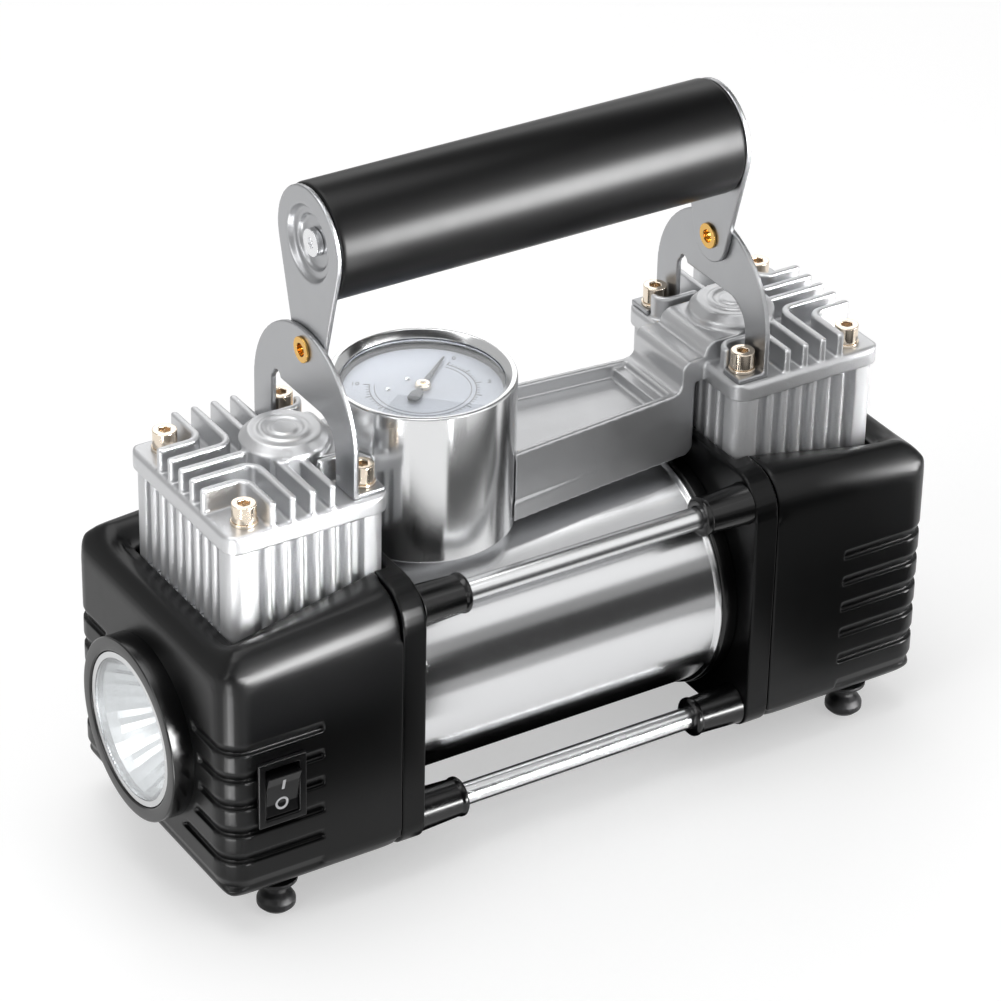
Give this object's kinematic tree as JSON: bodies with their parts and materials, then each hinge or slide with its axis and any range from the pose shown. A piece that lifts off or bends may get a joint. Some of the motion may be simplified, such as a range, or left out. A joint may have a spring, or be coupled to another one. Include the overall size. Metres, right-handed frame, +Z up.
{
  "type": "portable air compressor",
  "caption": "Portable twin-cylinder tyre inflator: central motor between end housings, finned heads, top gauge, folding carry handle, work lamp and rocker switch.",
  "frame": {"origin": "on the floor under the middle of the object's box", "axes": "+X along the motor shaft away from the lamp, +Y away from the switch side, +Z up"},
  "size_m": [0.2434, 0.0964, 0.2024],
  "materials": {
    "housing_black": "satin moulded black",
    "plate_black": "satin moulded black",
    "gloss_black": "gloss black",
    "motor_steel": "polished steel tube",
    "ferrite": "sintered ferrite",
    "core_steel": "stacked laminations",
    "copper": "enamelled copper",
    "ground_steel": "ground steel",
    "phenolic": "brown phenolic",
    "carbon": "carbon",
    "cast_aluminium": "fine cast, silver",
    "block_aluminium": "fine cast with upright fins",
    "gasket": "fibre gasket",
    "screw_nickel": "warm nickel plate",
    "seal": "filled PTFE",
    "chrome": "bright chrome",
    "sheet_steel": "satin stainless sheet",
    "brass": "polished brass",
    "grip_black": "satin black coated tube",
    "inner_plastic": "moulded nylon",
    "dial_face": "printed dial",
    "needle_grey": "dark grey paint",
    "bezel_black": "gloss black",
    "gauge_glass": "clear",
    "reflector": "metallised facets",
    "lamp_lens": "clear",
    "switch_black": "matte black",
    "rubber": "soft black rubber"
  },
  "bodies": {
    "machine": {"front_housing": "housing_black", "rear_housing": "housing_black", "front_end_plate": "plate_black", "rear_end_plate": "plate_black", "motor_can": "motor_steel", "motor_end_ring": "gloss_black", "field_magnets": "ferrite", "shaft_bearings": "ground_steel", "brush_plate": "phenolic", "brushes": "carbon", "front_crankcase": "cast_aluminium", "rear_crankcase": "cast_aluminium", "front_cylinder": "block_aluminium", "rear_cylinder": "block_aluminium", "valve_plates": "ground_steel", "head_gaskets": "gasket", "valve_reeds": "ground_steel", "front_head": "cast_aluminium", "rear_head": "cast_aluminium", "head_screws": "screw_nickel", "head_washers": "screw_nickel", "tie_rods": "chrome", "tie_rod_sleeves": "gloss_black", "front_bracket": "sheet_steel", "rear_bracket": "sheet_steel", "pivot_eyelets": "brass", "gauge_shell": "chrome", "gauge_movement": "brass", "gauge_dial": "dial_face", "gauge_bezel": "bezel_black", "gauge_glass": "gauge_glass", "air_block": "cast_aluminium", "hose_outlet": "brass", "lamp_bezel": "bezel_black", "lamp_reflector": "reflector", "lamp_lens": "lamp_lens", "lamp_board": "inner_plastic", "switch_frame": "switch_black", "feet": "rubber", "cord_gland": "rubber"},
    "handle": {"front_arm": "sheet_steel", "rear_arm": "sheet_steel", "handle_grip": "grip_black", "handle_plugs": "inner_plastic", "handle_screws": "ground_steel"},
    "rocker": {"switch_rocker": "switch_black"},
    "needle": {"gauge_needle": "needle_grey"},
    "rotor": {"motor_shaft": "ground_steel", "armature_core": "core_steel", "armature_windings": "copper", "commutator": "copper", "front_crank": "ground_steel", "rear_crank": "ground_steel"},
    "front_piston_set": {"front_piston": "cast_aluminium", "front_cup_seal": "seal", "front_rod_bearing": "ground_steel"},
    "rear_piston_set": {"rear_piston": "cast_aluminium", "rear_cup_seal": "seal", "rear_rod_bearing": "ground_steel"}
  },
  "joints": [
    {"name": "handle_fold", "type": "hinge", "parent": "machine", "child": "handle", "pos_m": [0.00325, 0, 0.1537], "axis": [1, 0, 0], "range_deg": [-90, 90]},
    {"name": "switch_rock", "type": "hinge", "parent": "machine", "child": "rocker", "pos_m": [-0.09825, -0.042, 0.047], "axis": [1, 0, 0], "range_deg": [-18, 0]},
    {"name": "needle_turn", "type": "hinge", "parent": "machine", "child": "needle", "pos_m": [-0.02675, 0, 0.1315], "axis": [0, 0, 1], "range_deg": [-270, 0]},
    {"name": "rotor_spin", "type": "hinge", "parent": "machine", "child": "rotor", "pos_m": [0.00325, 0, 0.049], "axis": [1, 0, 0], "continuous": true},
    {"name": "front_piston_slide", "type": "slide", "parent": "machine", "child": "front_piston_set", "axis": [0, 0, 1], "range_m": [-0.013, 0]},
    {"name": "rear_piston_slide", "type": "slide", "parent": "machine", "child": "rear_piston_set", "axis": [0, 0, 1], "range_m": [0, 0.013]}
  ],
  "couplings": [
    {"joint": "rear_piston_slide", "follows": "front_piston_slide", "ratio": -1}
  ]
}
